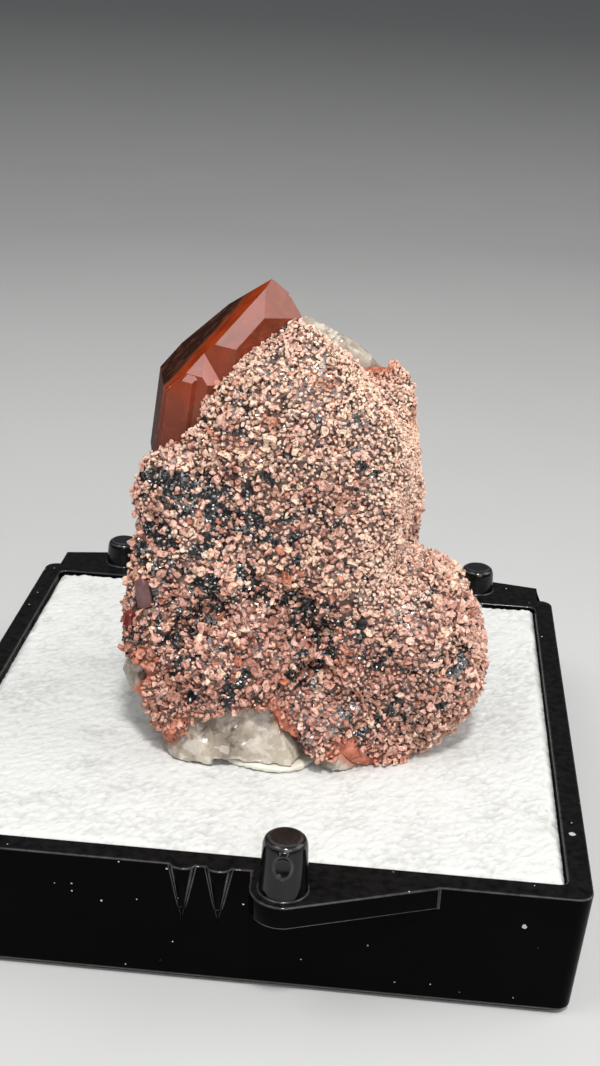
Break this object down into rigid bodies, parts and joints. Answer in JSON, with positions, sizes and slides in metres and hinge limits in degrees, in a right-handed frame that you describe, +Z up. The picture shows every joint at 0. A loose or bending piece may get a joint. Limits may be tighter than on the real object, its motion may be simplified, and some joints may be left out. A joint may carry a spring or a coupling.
{
  "type": "hematoid quartz specimen on matrix",
  "caption": "Red quartz crystals on a pink and black crusted quartz matrix, fixed upright on the white foam pad of a small black square box base.",
  "frame": {"origin": "centre of the box base's underside", "axes": "+Z up; -Y is the specimen's front, the side with the long ledge, the single post and the two ribs; +X is to the right seen from the front"},
  "size_m": [0.032, 0.0372, 0.0296],
  "materials": {
    "box_base": "moulded, glossy, dusty",
    "foam_pad": "fine closed cell foam",
    "mounting_putty": "soft, pressed by hand",
    "crusted_matrix": "salmon pink grains on black glittering hematite",
    "milky_quartz": "broken, glassy, cloudy",
    "hematoid_quartz_crystals": "natural crystal faces, red, translucent",
    "side_crystal_upper": "smooth crystal faces, purple brown",
    "side_crystal_lower": "smooth crystal faces, dark red"
  },
  "bodies": {
    "root": {"box_base": "box_base", "foam_pad": "foam_pad", "mounting_putty": "mounting_putty", "crusted_matrix": "crusted_matrix", "milky_quartz": "milky_quartz", "hematoid_quartz_crystals": "hematoid_quartz_crystals", "side_crystal_upper": "side_crystal_upper", "side_crystal_lower": "side_crystal_lower"}
  },
  "joints": []
}
